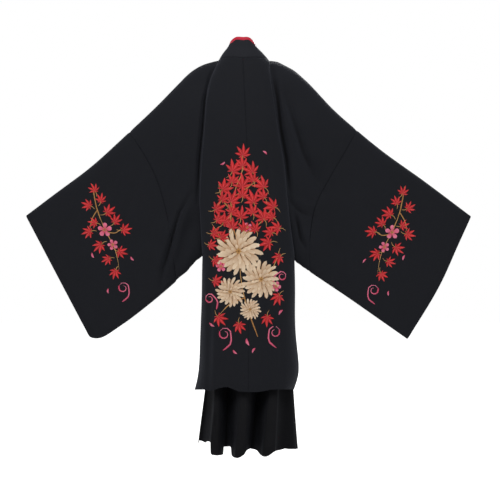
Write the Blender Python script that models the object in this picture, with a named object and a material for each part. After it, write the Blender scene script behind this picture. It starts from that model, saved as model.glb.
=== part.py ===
"""A wide-sleeved robe set in its worn form, hollow and with no wearer.

A black open coat with very wide sleeves hangs over an inner top with a red crossed collar and over a long black
skirt with broad folds. Metres, +Z up. The front faces -Y and the wearer's left is +X. The origin lies between the
shoulders, at the level of the base of the neck. Every piece of cloth is one wall of even thickness, and pieces that
are sewn together share the points of their seam, drawn apart by the seam gap.
"""

import math

import bmesh
import bpy
import numpy as np

# Driving sizes

WALL = 0.002  # thickness of the cloth
SEAM_GAP = 0.0004  # between two pieces at a seam
LAYER_GAP = 0.0005  # between two layers that lie on each other
COLLAR_WIDTH = 0.058  # of the coat's collar band
RED_DROP = 0.009  # how far the red collar's lower edge lies below the black band's seam
RED_STAND_OFF = 1.8  # how many times farther inside its lower edge lies than its upper edge
RED_WIDTH = 0.046  # of the red collar down the front
RED_LIFT = 0.018  # how much higher the red collar's free edge lies than its seam beside it
LAPEL_STEP = 0.008  # between the inner top's left front and the right front under it
LAPEL_LIES = 0.100  # distance below the origin from which the red collar lies flat on the chest

NECK_SEAM = 0.009  # how far the back neck seam lies below the origin
UNDERARM_LEVEL = 0.676  # where the coat's centre is level with its underarms
COAT_HEM = 1.096
SIDE_DROP = 0.017  # how far the coat's hem dips at its sides
WAIST_TOP = 0.400
WAIST_FOOT = 0.450
SKIRT_HEM = 1.300
SKIRT_FLARE = 1.8  # above 1, the skirt's folds open more toward its hem

SLEEVE_FOLD = 0.010  # radius of the sleeve's lower fold
RED_COLOUR = (0.58, 0.004, 0.028)
BLACK_COLOUR = (0.012, 0.013, 0.017)

# Tables. Their first column rises. down is the distance below the origin, out the distance from the plane x = 0.

# The coat's middle: where its centre line lies, how far its back and front stand from y = 0, how far each front edge
# lies from the centre line, and the power that rounds its section (1 is an ellipse, and less is squarer).
COAT_MIDDLE = [
    # down, centre_x, back, front, edge, rounding
    (0.000, 0.018, 0.074, 0.046, 0.085, 0.90),
    (0.020, 0.018, 0.083, 0.058, 0.081, 0.90),
    (0.050, 0.017, 0.095, 0.072, 0.075, 0.90),
    (0.090, 0.015, 0.106, 0.086, 0.067, 0.90),
    (0.150, 0.012, 0.115, 0.100, 0.062, 0.90),
    (0.250, 0.007, 0.120, 0.112, 0.062, 0.90),
    (0.400, 0.002, 0.107, 0.118, 0.066, 0.90),
    (0.550, 0.000, 0.105, 0.120, 0.070, 0.78),
    (0.670, 0.000, 0.112, 0.122, 0.074, 0.64),
    (0.850, 0.000, 0.140, 0.136, 0.081, 0.60),
    (1.000, 0.000, 0.167, 0.152, 0.087, 0.58),
    (1.130, 0.000, 0.190, 0.166, 0.092, 0.56),
]

# The crease where a sleeve leaves the coat's body, from the neck side to the underarm.
CREASE = {
    "left": [
        # down, out, back, front
        (0.001, 0.1010, 0.000, 0.000),
        (0.018, 0.1065, 0.020, 0.018),
        (0.060, 0.1226, 0.040, 0.036),
        (0.102, 0.1369, 0.055, 0.050),
        (0.181, 0.1432, 0.078, 0.065),
        (0.257, 0.1487, 0.080, 0.068),
        (0.331, 0.1547, 0.073, 0.062),
        (0.436, 0.1626, 0.055, 0.050),
        (0.479, 0.1650, 0.045, 0.040),
        (0.571, 0.1610, 0.032, 0.030),
        (0.620, 0.1585, 0.026, 0.025),
        (0.648, 0.1572, 0.017, 0.017),
        (0.669, 0.1567, 0.000, 0.000),
    ],
    "right": [
        # down, out, back, front
        (0.002, 0.0690, 0.000, 0.000),
        (0.016, 0.0725, 0.026, 0.018),
        (0.042, 0.0735, 0.050, 0.034),
        (0.107, 0.0775, 0.080, 0.054),
        (0.183, 0.0887, 0.090, 0.068),
        (0.258, 0.0999, 0.088, 0.070),
        (0.312, 0.1115, 0.080, 0.066),
        (0.405, 0.1233, 0.065, 0.055),
        (0.479, 0.1310, 0.050, 0.045),
        (0.590, 0.1445, 0.032, 0.030),
        (0.635, 0.1515, 0.026, 0.025),
        (0.663, 0.1550, 0.017, 0.017),
        (0.683, 0.1564, 0.000, 0.000),
    ],
}

# The coat's sides below the underarm.
COAT_SIDE = {
    "left": [
        # down, out
        (0.669, 0.1567),
        (0.850, 0.1596),
        (0.950, 0.1638),
        (1.020, 0.1660),
        (1.060, 0.1698),
        (1.090, 0.1755),
        (1.130, 0.1860),
    ],
    "right": [
        # down, out
        (0.683, 0.1564),
        (0.800, 0.1578),
        (0.900, 0.1578),
        (0.960, 0.1630),
        (1.020, 0.1684),
        (1.055, 0.1712),
        (1.080, 0.1665),
        (1.130, 0.1600),
    ],
}

# The sleeve's upper fold, from the neck side over the shoulder and the arm to the cuff.
SLEEVE_TOP = {
    "left": [
        # out, down
        (0.1010, 0.0010),
        (0.1397, 0.0120),
        (0.1880, 0.0350),
        (0.2500, 0.0941),
        (0.3376, 0.1835),
        (0.4046, 0.2454),
        (0.5382, 0.3662),
        (0.6500, 0.4497),
        (0.7551, 0.5286),
    ],
    "right": [
        # out, down
        (0.0690, 0.0020),
        (0.1030, 0.0078),
        (0.1340, 0.0233),
        (0.1683, 0.0468),
        (0.2033, 0.0788),
        (0.2455, 0.1238),
        (0.2781, 0.1594),
        (0.3672, 0.2391),
        (0.4359, 0.2958),
        (0.6000, 0.4147),
        (0.7548, 0.5305),
    ],
}

# The sleeve's lower fold, from the underarm to the cuff's lower corner.
SLEEVE_FOOT = {
    "left": [
        # out, down
        (0.1567, 0.6690),
        (0.1760, 0.6800),
        (0.2100, 0.7160),
        (0.2720, 0.7725),
        (0.3835, 0.8645),
        (0.4700, 0.9258),
        (0.5120, 0.9478),
        (0.5382, 0.9420),
    ],
    "right": [
        # out, down
        (0.1564, 0.6830),
        (0.2319, 0.7345),
        (0.3699, 0.8285),
        (0.4600, 0.8925),
        (0.5389, 0.9485),
    ],
}

# The seam at mid-arm between the coat's body and the lower sleeve, as it hangs.
SLEEVE_SEAM = {
    "left": [
        # out, down
        (0.4046, 0.2454),
        (0.3509, 0.3254),
        (0.3046, 0.4206),
        (0.2830, 0.4950),
        (0.2620, 0.6000),
        (0.2450, 0.7520),
    ],
    "right": [
        # out, down
        (0.3672, 0.2391),
        (0.3240, 0.3170),
        (0.2713, 0.4077),
        (0.2270, 0.4950),
        (0.2080, 0.6000),
        (0.2050, 0.7180),
    ],
}

SLEEVE_CUFF = {
    "left": [
        # out, down
        (0.7551, 0.5286),
        (0.6467, 0.7355),
        (0.5382, 0.9420),
    ],
    "right": [
        # out, down
        (0.7548, 0.5305),
        (0.7120, 0.6246),
        (0.6528, 0.7562),
        (0.5389, 0.9485),
    ],
}

# Radius of the rounded top of the sleeve along its length: 0 at the crease, 1 at the mid-arm seam, 2 at the cuff.
SLEEVE_SWELL = [
    # along, radius
    (0.00, 0.046),
    (0.50, 0.046),
    (1.00, 0.040),
    (1.60, 0.034),
    (1.85, 0.022),
    (2.00, 0.012),
]

# The coat's largest folds on its back and front: a ridge has a height above 0 and a trough one below it.
COAT_FOLDS = [
    # face, height, half_width, points (x, down)
    ("back", 0.020, 0.026, [(0.180, 0.450), (0.236, 0.538), (0.262, 0.611), (0.289, 0.742), (0.296, 0.790)]),
    ("back", 0.016, 0.024, [(-0.165, 0.500), (-0.190, 0.600), (-0.226, 0.700)]),
    ("back", -0.009, 0.024, [(-0.118, 0.062), (-0.158, 0.220), (-0.172, 0.300), (-0.240, 0.420)]),
    ("back", -0.012, 0.026, [(0.062, 0.800), (0.060, 0.950), (0.060, 1.130)]),
    ("back", -0.008, 0.022, [(-0.060, 0.650), (-0.066, 0.880), (-0.070, 1.130)]),
    ("front", 0.016, 0.030, [(0.178, 0.460), (0.240, 0.600), (0.280, 0.760)]),
    ("front", 0.014, 0.030, [(-0.160, 0.460), (-0.205, 0.600), (-0.240, 0.720)]),
]
FOLD_START = 0.3  # share of a fold's length in which it rises from nothing
FOLD_RELIEF = 0.020  # the folds fade where the cloth is nearer than this to its own edge folds

# Which way the coat's collar band leans from its seam, along its run from the centre of the back.
BAND_LEAN = [
    # run, inward, forward, up
    (0.000, 0.00, 0.28, 0.96),
    (0.060, 0.32, 0.22, 0.92),
    (0.100, 0.56, 0.14, 0.82),
    (0.125, 0.64, 0.12, 0.76),
    (0.160, 0.76, 0.20, 0.62),
    (0.200, 0.88, 0.26, 0.40),
    (0.260, 0.97, 0.22, 0.14),
    (0.400, 0.98, 0.18, 0.00),
    (0.800, 0.95, 0.28, 0.00),
    (1.400, 0.92, 0.38, 0.00),
]
BAND_TILT = {"left": 0.86, "right": 1.16}  # the band leans further in on one side than on the other

# How far the red collar stands above the black band, along its run from the centre of the back.
RED_RISE = [
    # run, rise
    (0.000, 0.013),
    (0.030, 0.012),
    (0.060, 0.008),
    (0.100, 0.004),
    (0.150, 0.004),
]

# The inner top: half width, depth of back and front, the angle at which its armhole cuts each half round from the
# middle, and how far the edge of a front lies from the centre line, below 0 past it.
INNER_TOP = [
    # down, width, back, front, armhole, edge
    (0.020, 0.102, 0.066, 0.030, 46, 0.082),
    (0.060, 0.108, 0.076, 0.056, 54, 0.071),
    (0.110, 0.118, 0.088, 0.078, 67, 0.055),
    (0.170, 0.122, 0.096, 0.088, 76, 0.034),
    (0.240, 0.127, 0.099, 0.094, 90, 0.009),
    (0.320, 0.130, 0.096, 0.096, 90, -0.018),
    (0.400, 0.128, 0.088, 0.094, 90, -0.042),
    (0.450, 0.128, 0.088, 0.094, 90, -0.055),
]
INNER_ROWS = [0.038, 0.065, 0.110, 0.170, 0.240, 0.320, 0.400, 0.450]
SHOULDER_END = (0.104, 0.040)  # distance from the centre line and down, where the shoulder meets the armhole

# The skirt's folds at its hem, from one side seam to the other: each stands out to its crest between two places x,
# and after it the cloth runs back to a valley.
SKIRT_BACK_FOLDS = [
    # start_x, end_x, crest_y, valley_y
    (0.130, 0.084, 0.160, 0.042),
    (0.052, 0.000, 0.188, 0.064),
    (-0.036, -0.094, 0.180, 0.086),
]
SKIRT_FRONT_FOLDS = [
    # start_x, end_x, crest_y, valley_y
    (-0.130, -0.096, -0.128, -0.062),
    (-0.064, -0.020, -0.158, -0.070),
    (0.012, 0.050, -0.162, -0.066),
    (0.082, 0.122, -0.132, -0.050),
]
SKIRT_SIDES = {
    # x, y of the side seam, x, y beside it on the back, and x, y beside it on the front
    "left": (0.173, -0.030, 0.153, -0.008, 0.164, -0.066),
    "right": (-0.166, 0.030, -0.148, 0.074, -0.156, -0.020),
}
CREST_LEAN = 0.20  # share of a fold's width by which its crest is narrower at each end

# How finely the surfaces are divided
DOWN_SLEEVE = [0, 0.010, 0.030, 0.060, 0.105, 0.165, 0.24, 0.32, 0.41, 0.51, 0.61, 0.71, 0.80, 0.88, 0.94, 0.98, 1]
ALONG_ROOT = [0, 0.10, 0.26, 0.46, 0.70, 1]
ALONG_SLEEVE = [0, 0.12, 0.26, 0.41, 0.56, 0.71, 0.85, 0.95, 1]
BACK_COLUMNS = 10
FRONT_COLUMNS = 6
BELOW_UNDERARM = [0, 0.12, 0.26, 0.41, 0.56, 0.70, 0.82, 0.92, 1]
SHOULDER_COLUMNS = 6
SKIRT_STEPS = 3
SKIRT_ROWS = [0, 0.10, 0.24, 0.42, 0.62, 0.82, 1]
SAME_DIGITS = 6  # points that agree to a thousandth of a millimetre are one


# Curves

def smooth(table, places):
    """The other columns of a table at places along its first column, on a smooth curve through its rows."""
    rows = np.array(table, dtype=float)
    knots, values = rows[:, 0], rows[:, 1:]
    places = np.clip(np.asarray(places, dtype=float), knots[0], knots[-1])
    slopes = np.gradient(values, knots, axis=0)
    start = np.clip(np.searchsorted(knots, places, side="right") - 1, 0, len(knots) - 2)
    width = (knots[start + 1] - knots[start])[..., None]
    share = (places - knots[start])[..., None] / width
    ease = share * share * (3 - 2 * share)
    rise = slopes[start] * share * (1 - share) ** 2 - slopes[start + 1] * share**2 * (1 - share)
    return values[start] * (1 - ease) + values[start + 1] * ease + width * rise


def along_path(points, shares):
    """Points at shares of the length of a smooth path through the given points."""
    points = np.array(points, dtype=float)
    lengths = np.concatenate([[0], np.cumsum(np.linalg.norm(np.diff(points, axis=0), axis=1))])
    return smooth(np.column_stack([lengths / lengths[-1], points]), shares)


def ease_in(share):
    return share * share * (3 - 2 * share)


def path_distance(x, down, points):
    """Distance of each (x, down) from a path, and how far along the path its nearest point lies, from 0 to 1."""
    points = np.array(points, dtype=float)
    lengths = np.linalg.norm(np.diff(points, axis=0), axis=1)
    before = np.concatenate([[0], np.cumsum(lengths)])
    nearest = np.full(np.shape(x), np.inf)
    place = np.zeros(np.shape(x))
    for k, length in enumerate(lengths):
        step = (points[k + 1] - points[k]) / length
        run = np.clip((x - points[k, 0]) * step[0] + (down - points[k, 1]) * step[1], 0, length)
        apart = np.hypot(x - points[k, 0] - run * step[0], down - points[k, 1] - run * step[1])
        closer = apart < nearest
        nearest = np.where(closer, apart, nearest)
        place = np.where(closer, (before[k] + run) / before[-1], place)
    return nearest, place


def folded(grid, face):
    """Moves the points of one face of the coat in or out along its folds."""
    grid = np.array(grid)
    outward = 1 if face == "back" else -1
    room = np.clip(np.abs(grid[..., 1]) / FOLD_RELIEF, 0, 1)
    for fold_face, height, half_width, points in COAT_FOLDS:
        if fold_face == face:
            apart, place = path_distance(grid[..., 0], -grid[..., 2], points)
            swell = np.exp(-((apart / half_width) ** 2)) * ease_in(np.clip(place / FOLD_START, 0, 1))
            grid[..., 1] += outward * room * height * swell
    return grid


def joined_rows(x, y, down):
    """A grid of points with x to the wearer's left, y to the back and z up."""
    x, y, down = np.broadcast_arrays(x, y, down)
    return np.stack([x, y, -down], axis=-1)


# The coat's body

def coat_rows(side):
    """Sections of one half of the coat, from the neck to the hem: one for each row of the cloth."""
    sign = 1 if side == "left" else -1
    crease_top, underarm = CREASE[side][0][0], CREASE[side][-1][0]
    share = np.array(DOWN_SLEEVE)
    upper_centre = NECK_SEAM + (UNDERARM_LEVEL - NECK_SEAM) * share
    upper_outer = crease_top + (underarm - crease_top) * share
    out, back, front = smooth(CREASE[side], upper_outer).T
    share = np.array(BELOW_UNDERARM[1:])
    lower_centre = UNDERARM_LEVEL + (COAT_HEM - UNDERARM_LEVEL) * share
    lower_outer = underarm + (COAT_HEM - underarm) * share + SIDE_DROP * share**4
    lower_out = smooth(COAT_SIDE[side], lower_outer)[:, 0]
    return {
        "centre_down": np.concatenate([upper_centre, lower_centre]),
        "outer_down": np.concatenate([upper_outer, lower_outer]),
        "outer_x": sign * np.concatenate([out, lower_out]),
        "outer_back": np.concatenate([back, np.zeros(len(share))]),
        "outer_front": np.concatenate([front, np.zeros(len(share))]),
    }


def back_grid(side):
    """The back of one half of the coat, rows from neck to hem, columns from the centre-back seam outward."""
    rows = coat_rows(side)
    angle = np.linspace(0, math.pi / 2, BACK_COLUMNS + 1)
    centre_x, back, _, _, rounding = smooth(COAT_MIDDLE, rows["centre_down"]).T
    outward, bulge = np.sin(angle), np.clip(np.cos(angle), 0, 1) ** rounding[:, None]
    bulge[:, -1] = 0
    x = centre_x[:, None] + (rows["outer_x"] - centre_x)[:, None] * outward
    y = rows["outer_back"][:, None] + (back - rows["outer_back"])[:, None] * bulge
    down = rows["centre_down"][:, None] + (rows["outer_down"] - rows["centre_down"])[:, None] * outward
    return folded(joined_rows(x, y, down), "back")


def front_grid(side):
    """The front of one half of the coat, rows from neck to hem, columns from the side inward to the front edge."""
    rows = coat_rows(side)
    centre_x, _, front, edge, rounding = smooth(COAT_MIDDLE, rows["outer_down"]).T
    reach = np.clip(edge / np.abs(rows["outer_x"] - centre_x), 0, 1)
    reach[0] = 1
    share = np.linspace(0, 1, FRONT_COLUMNS + 1)
    angle = math.pi / 2 + (np.arcsin(reach) - math.pi / 2)[:, None] * share
    x = centre_x[:, None] + (rows["outer_x"] - centre_x)[:, None] * np.sin(angle)
    bulge = np.clip(np.cos(angle), 0, 1) ** rounding[:, None]
    bulge[:, 0] = 0
    y = rows["outer_front"][:, None] + (front - rows["outer_front"])[:, None] * bulge
    x[0], y[0] = rows["outer_x"][0], 0
    return folded(joined_rows(x, -y, rows["outer_down"][:, None]), "front")


# The sleeves

def between_edges(top, foot, inner, outer, along, down_share):
    """Frontal points of a stretch of sleeve, filled in smoothly between its four edges."""
    s, t = along[:, None, None], down_share[None, :, None]
    top, foot, inner, outer = top[:, None], foot[:, None], inner[None], outer[None]
    corners = (1 - s) * ((1 - t) * top[:1] + t * foot[:1]) + s * ((1 - t) * top[-1:] + t * foot[-1:])
    return (1 - s) * inner + s * outer + (1 - t) * top + t * foot - corners


def fold_run(table, start_out, end_out, shares):
    """Points of one of the sleeve's two folds between two distances out."""
    out = start_out + (end_out - start_out) * shares
    return np.column_stack([out, smooth(table, out)[:, 0]])


def sleeve_depth(frontal, along, down_share):
    """Half the thickness of the sleeve: a round upper fold that tapers down to a tight lower fold."""
    length = np.linalg.norm(frontal[:, -1] - frontal[:, 0], axis=1)[:, None]
    radius = smooth(SLEEVE_SWELL, along)[:, :1]
    taper = radius + (SLEEVE_FOLD - radius) * down_share
    from_top = np.clip(down_share * length / radius, 0, 1)
    from_foot = np.clip((1 - down_share) * length / SLEEVE_FOLD, 0, 1)
    return taper * np.sqrt((1 - (1 - from_top) ** 2) * (1 - (1 - from_foot) ** 2))


def sleeve_stretch(side, root):
    """Back and front grids of the sleeve's root, on the coat's body, or of the lower sleeve. Rows run along it."""
    sign = 1 if side == "left" else -1
    t = np.array(DOWN_SLEEVE)
    seam = along_path(SLEEVE_SEAM[side], t)
    if root:
        s = np.array(ALONG_ROOT)
        rows = coat_rows(side)
        count = len(t)
        inner = np.column_stack([np.abs(rows["outer_x"][:count]), rows["outer_down"][:count]])
        outer = seam
    else:
        s = np.array(ALONG_SLEEVE)
        inner = seam
        outer = along_path(SLEEVE_CUFF[side], t)
    top = fold_run(SLEEVE_TOP[side], inner[0, 0], outer[0, 0], s)
    foot = fold_run(SLEEVE_FOOT[side], inner[-1, 0], outer[-1, 0], s)
    frontal = between_edges(top, foot, inner, outer, s, t)
    depth = sleeve_depth(frontal, s if root else 1 + s, t)
    faces = []
    for face, outward in (("back", 1), ("front", -1)):
        y = depth
        if root:
            at_crease = rows["outer_" + face][:count]
            blend = ease_in(s)[:, None]
            y = at_crease * (1 - blend) + depth * blend
        y = y * np.where((t == 0) | (t == 1), 0, 1)
        faces.append(folded(joined_rows(sign * frontal[..., 0], outward * y, frontal[..., 1]), face))
    return faces


# The collar band

def band_grid(side, back, front):
    """One half of the coat's collar band, sections from the centre of the back down to the front hem."""
    sign = 1 if side == "left" else -1
    seam = np.concatenate([back[0], front[1:, -1]])
    run = np.concatenate([[0], np.cumsum(np.linalg.norm(np.diff(seam, axis=0), axis=1))])
    inward, forward, up = smooth(BAND_LEAN, run).T
    lean = np.column_stack([-sign * BAND_TILT[side] * inward, -forward, up])
    lean /= np.linalg.norm(lean, axis=1)[:, None]
    width = COLLAR_WIDTH * np.linspace(0, 1, 3)[None, :, None]
    return seam[:, None] + lean[:, None] * width


def coat_pieces():
    """The coat's pieces, each a list of grids of points that share their edges with the next ones."""
    pieces = {"coat_collar_band": []}
    for side in ("left", "right"):
        back, front = back_grid(side), front_grid(side)
        root_back, root_front = sleeve_stretch(side, root=True)
        count = len(DOWN_SLEEVE)
        root_back[0], root_front[0] = back[:count, -1], front[:count, 0]
        pieces["coat_body_" + side] = [back, front, root_back, root_front]
        low_back, low_front = sleeve_stretch(side, root=False)
        low_back[0], low_front[0] = root_back[-1], root_front[-1]
        pieces["coat_sleeve_" + side] = [low_back, low_front]
        pieces["coat_collar_band"].append(band_grid(side, back, front))
    return pieces


# The inner top and its red collar

def inner_point(down, angle, front=False, step=0.0):
    """A point on the inner top's round section: angle 0 is the middle of the back or front, and 90 degrees a side."""
    width, back, front_depth = np.moveaxis(smooth(INNER_TOP, down)[..., :3], -1, 0)
    centre_x = smooth(COAT_MIDDLE, down)[..., 0]
    depth = step * ease_in(np.clip(down / LAPEL_LIES, 0, 1)) - front_depth if front else back
    return joined_rows(centre_x + width * np.sin(angle), depth * np.cos(angle), down)


def red_edges(band, sign):
    """The red collar's lower and upper edge behind one half of the coat's band, at the back of the neck."""
    run = np.gradient(band[:, 0], axis=0)
    run[0] = (sign, 0, 0)
    at_back = slice(0, BACK_COLUMNS + 1, 2)
    seam, free, run = band[at_back, 0], band[at_back, -1], run[at_back]
    upward = (free - seam) / np.linalg.norm(free - seam, axis=1)[:, None]
    along = np.concatenate([[0], np.cumsum(np.linalg.norm(np.diff(seam, axis=0), axis=1))])
    inward = sign * np.cross(run, upward)
    behind = (WALL + LAYER_GAP) * inward / np.linalg.norm(inward, axis=1)[:, None]
    level = behind * (1, 1, 0)
    level *= RED_STAND_OFF * (WALL + LAYER_GAP) / np.linalg.norm(level, axis=1)[:, None]
    lower = seam + level - np.array([0, 0, RED_DROP])
    return lower, free + upward * smooth(RED_RISE, along) + behind


def front_edge_angle(down, sign, beyond=0.0):
    """Angle round the inner top at which a front's edge lies, or a point beyond it toward the other side."""
    width, _, _, _, edge = smooth(INNER_TOP, down).T
    return sign * np.arcsin(np.clip((edge - beyond) / width, -1, 1))


def shoulder_line(sign, neck_side):
    """The inner top's shoulder seam from the armhole to the neck."""
    share = np.linspace(0, 1, SHOULDER_COLUMNS + 1)[:, None]
    end = np.array([COAT_MIDDLE[0][1] + sign * SHOULDER_END[0], 0.0, -SHOULDER_END[1]])
    return end + (neck_side - end) * share


def inner_pieces(bands):
    """The inner top's back and crossed fronts, and the red collar along their edges."""
    down = np.array(INNER_ROWS)
    armhole = np.radians(smooth(INNER_TOP, down)[:, 3])
    half_columns = SHOULDER_COLUMNS + BACK_COLUMNS // 2
    turn = np.linspace(1, -1, 2 * half_columns + 1)
    neck, collar, fronts, shoulders = {}, {}, {}, {}
    for side, sign, step in (("left", 1, 0.0), ("right", -1, LAPEL_STEP)):
        lower, upper = red_edges(bands[side], sign)
        neck[side] = lower
        shoulders[side] = shoulder_line(sign, lower[-1])
        edge = front_edge_angle(down, sign)
        share = np.linspace(0, 1, SHOULDER_COLUMNS + 1)
        angles = sign * armhole[:, None] * (1 - share) + edge[:, None] * share
        panel = inner_point(np.repeat(down[:, None], len(share), axis=1), angles, True, step)
        panel = np.concatenate([shoulders[side][None], panel])
        fronts["inner_top_front_" + side] = [panel]
        free_down = down - RED_LIFT
        free = inner_point(free_down, front_edge_angle(free_down, sign, RED_WIDTH), True, step)
        lying = np.clip((down / LAPEL_LIES) ** 2, 0, 1)[:, None]
        free = upper[-1] * (1 - lying) + free * lying
        seam = np.concatenate([lower, panel[1:, -1]])
        rim = np.concatenate([upper, free])
        collar[side] = np.stack([seam, (seam + rim) / 2, rim], axis=1)
    top = np.concatenate([
        shoulders["left"],
        neck["left"][::-1][1:],
        neck["right"][1:],
        shoulders["right"][::-1][1:],
    ])
    angles = armhole[:, None] * turn
    back = inner_point(np.repeat(down[:, None], len(turn), axis=1), angles)
    return {
        "inner_top_back": [np.concatenate([top[None], back])],
        **fronts,
        "inner_collar_red": [collar["left"], collar["right"]],
    }


# The skirt

def waist_ring(angle, down):
    """Points of the skirt's waist just outside the inner top: angle 0 is the left side, 180 degrees the right."""
    width, back, front = smooth(INNER_TOP, down)[:3]
    centre_x = smooth(COAT_MIDDLE, down)[0]
    depth = np.where(np.sin(angle) >= 0, back, front)
    outward = np.column_stack([np.cos(angle) / width, np.sin(angle) / depth])
    outward /= np.linalg.norm(outward, axis=1)[:, None]
    apart = WALL + LAYER_GAP
    x = centre_x + width * np.cos(angle) + apart * outward[:, 0]
    return joined_rows(x, depth * np.sin(angle) + apart * outward[:, 1], down)


def hem_plan(folds, start, end, beside):
    """The skirt's hem seen from above, from one side seam over the folds of one panel to the other side seam."""
    points = [start[:2], start[beside]]
    valley = points[1][1]
    for start_x, end_x, crest, next_valley in folds:
        lean = CREST_LEAN * (end_x - start_x)
        points += [
            (start_x, (valley + crest) / 2),
            (start_x + lean, crest),
            (end_x - lean, crest),
            (end_x, (crest + next_valley) / 2),
            (end_x + lean, next_valley),
        ]
        valley = next_valley
    points[-1] = end[beside]
    return np.array(points + [end[:2]])


def skirt_half(folds, start, end, beside, first_angle):
    """Rows of one skirt panel from the waist to the hem, and the rows of the waistband above it."""
    hem = hem_plan(folds, start, end, beside)
    knots = np.linspace(0, 1, len(hem))
    plan = smooth(np.column_stack([knots, hem]), np.linspace(0, 1, (len(hem) - 1) * SKIRT_STEPS + 1))
    lengths = np.concatenate([[0], np.cumsum(np.linalg.norm(np.diff(plan, axis=0), axis=1))])
    angle = first_angle + math.pi * lengths / lengths[-1]
    waist = waist_ring(angle, WAIST_FOOT)
    hem_points = joined_rows(plan[:, 0], plan[:, 1], SKIRT_HEM)
    fall = np.array(SKIRT_ROWS)[:, None]
    spread = np.stack([fall**SKIRT_FLARE, fall**SKIRT_FLARE, fall], axis=-1)
    panel = waist + (hem_points - waist) * spread
    band = np.stack([waist_ring(angle, WAIST_TOP), waist])
    return panel, band


def skirt_pieces():
    left, right = SKIRT_SIDES["left"], SKIRT_SIDES["right"]
    back, band_back = skirt_half(SKIRT_BACK_FOLDS, left, right, slice(2, 4), 0.0)
    front, band_front = skirt_half(SKIRT_FRONT_FOLDS, right, left, slice(4, 6), math.pi)
    return {
        "skirt_back": [back],
        "skirt_front": [front],
        "skirt_waistband": [band_back, band_front],
    }


# From surfaces to solids

def cloth_material(name, colour, roughness):
    material = bpy.data.materials.new(name)
    material.use_nodes = True
    shader = material.node_tree.nodes["Principled BSDF"]
    shader.inputs["Base Color"].default_value = (*colour, 1)
    shader.inputs["Roughness"].default_value = roughness
    shader.inputs["Metallic"].default_value = 0
    return material


def sewn_surface(pieces):
    """One open surface of all the given pieces, welded at their seams, with the faces of each piece."""
    surface = bmesh.new()
    corners = {}
    piece_faces = {}

    def corner(point):
        key = tuple(np.round(point, SAME_DIGITS))
        if key not in corners:
            corners[key] = surface.verts.new(point)
        return corners[key]

    for name, grids in pieces.items():
        piece_faces[name] = []
        for grid in grids:
            knots = [[corner(point) for point in row] for row in grid]
            for upper, lower in zip(knots, knots[1:]):
                for k in range(len(upper) - 1):
                    ring = dict.fromkeys([upper[k], lower[k], lower[k + 1], upper[k + 1]])
                    if len(ring) > 2:
                        piece_faces[name].append(surface.faces.new(ring))
    face_outward(surface)
    return surface, piece_faces


def face_outward(surface):
    """Turns the faces of an open surface that goes round the upright axis so that they all look away from it."""
    bmesh.ops.recalc_face_normals(surface, faces=surface.faces)
    outward = sum(
        face.calc_area() * face.normal.xy.dot(face.calc_center_median().xy) for face in surface.faces
    )
    if outward < 0:
        bmesh.ops.reverse_faces(surface, faces=surface.faces)
    surface.normal_update()


def drawn_back(corner, own_faces, piece_faces):
    """A seam point moved off the seam, along the cloth, into its own piece."""
    beside = [
        face
        for face in own_faces
        if any(corner in edge.verts and set(edge.link_faces) - piece_faces for edge in face.edges)
    ]
    toward = corner.co * 0
    for face in beside or own_faces:
        toward += (face.calc_center_median() - corner.co).normalized()
    toward -= corner.normal * toward.dot(corner.normal)
    return corner.co + toward.normalized() * SEAM_GAP / 2


def cloth_wall(name, faces, material):
    """Makes one piece solid: its faces, a copy of them inside by the cloth's thickness, and the rim between."""
    own = {}
    for face in faces:
        for corner in face.verts:
            own.setdefault(corner, []).append(face)
    piece = bmesh.new()
    piece_faces = set(faces)
    copies, inward = {}, {}
    for corner, own_faces in own.items():
        on_seam = len(own_faces) < len(corner.link_faces)
        place = drawn_back(corner, own_faces, piece_faces) if on_seam else corner.co
        copies[corner] = piece.verts.new(place)
        inward[copies[corner]] = -corner.normal * WALL
    for face in faces:
        piece.faces.new([copies[corner] for corner in face.verts])
    shifts = {tuple(corner.co): shift for corner, shift in inward.items()}
    inner = bmesh.ops.extrude_face_region(piece, geom=list(piece.faces), use_keep_orig=True)["geom"]
    for corner in (item for item in inner if isinstance(item, bmesh.types.BMVert)):
        corner.co += shifts[tuple(corner.co)]
    bmesh.ops.triangulate(piece, faces=piece.faces, quad_method="SHORT_EDGE")
    bmesh.ops.recalc_face_normals(piece, faces=piece.faces)
    mesh = bpy.data.meshes.new(name)
    piece.to_mesh(mesh)
    piece.free()
    mesh.shade_smooth()
    mesh.set_sharp_from_angle(angle=math.radians(40))
    mesh.materials.append(material)
    bpy.context.collection.objects.link(bpy.data.objects.new(name, mesh))


def build():
    for old in list(bpy.data.objects):
        bpy.data.objects.remove(old)
    black = cloth_material("black_cloth", BLACK_COLOUR, 0.75)
    red = cloth_material("red_satin", RED_COLOUR, 0.45)
    coat = coat_pieces()
    bands = dict(zip(("left", "right"), coat["coat_collar_band"]))
    for pieces in (coat, inner_pieces(bands), skirt_pieces()):
        surface, piece_faces = sewn_surface(pieces)
        for name, faces in piece_faces.items():
            cloth_wall(name, faces, red if name == "inner_collar_red" else black)
        surface.free()


build()
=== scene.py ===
# %% [markdown]
# A robe set, seen from behind and filled out as if someone wore it: a black coat with wide sleeves over an inner top
# with a red collar, and a long pleated skirt. Each part of the frame is a thin wall of cloth. Here every wall gets a
# finer sheet of its own with small creases, hems, weave and embroidery. The frame's sizes stay as they are.

# %% The frame and the tools
import math

import bmesh
import bpy
import numpy as np
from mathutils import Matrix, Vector
from mathutils.bvhtree import BVHTree
from mathutils.kdtree import KDTree


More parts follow.
